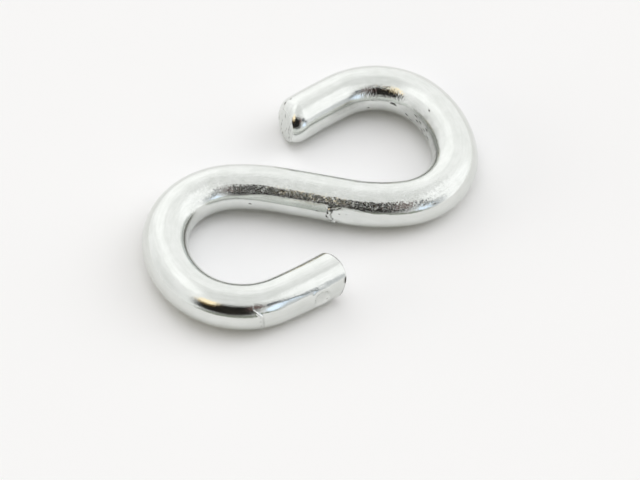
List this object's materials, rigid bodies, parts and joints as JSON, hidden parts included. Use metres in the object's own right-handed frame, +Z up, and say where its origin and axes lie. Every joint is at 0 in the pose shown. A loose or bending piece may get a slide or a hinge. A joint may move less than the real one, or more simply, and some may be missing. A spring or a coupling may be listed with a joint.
{
  "type": "safety chain s-hook",
  "caption": "Open S-hook bent cold from one length of round bar with sheared ends, bright zinc plated, for linking a trailer's safety chain to a frame eye.",
  "frame": {"origin": "under the middle of the hook as it lies flat on its side, on the surface that it lies on", "axes": "+X along the line of pull, from the left hook towards the right hook; +Z up, square to the plane of the S"},
  "size_m": [0.0792, 0.0464, 0.0095],
  "materials": {
    "zinc_plated_bar": "bright zinc plating over drawn round steel bar"
  },
  "bodies": {
    "root": {"s_hook": "zinc_plated_bar"}
  },
  "joints": []
}
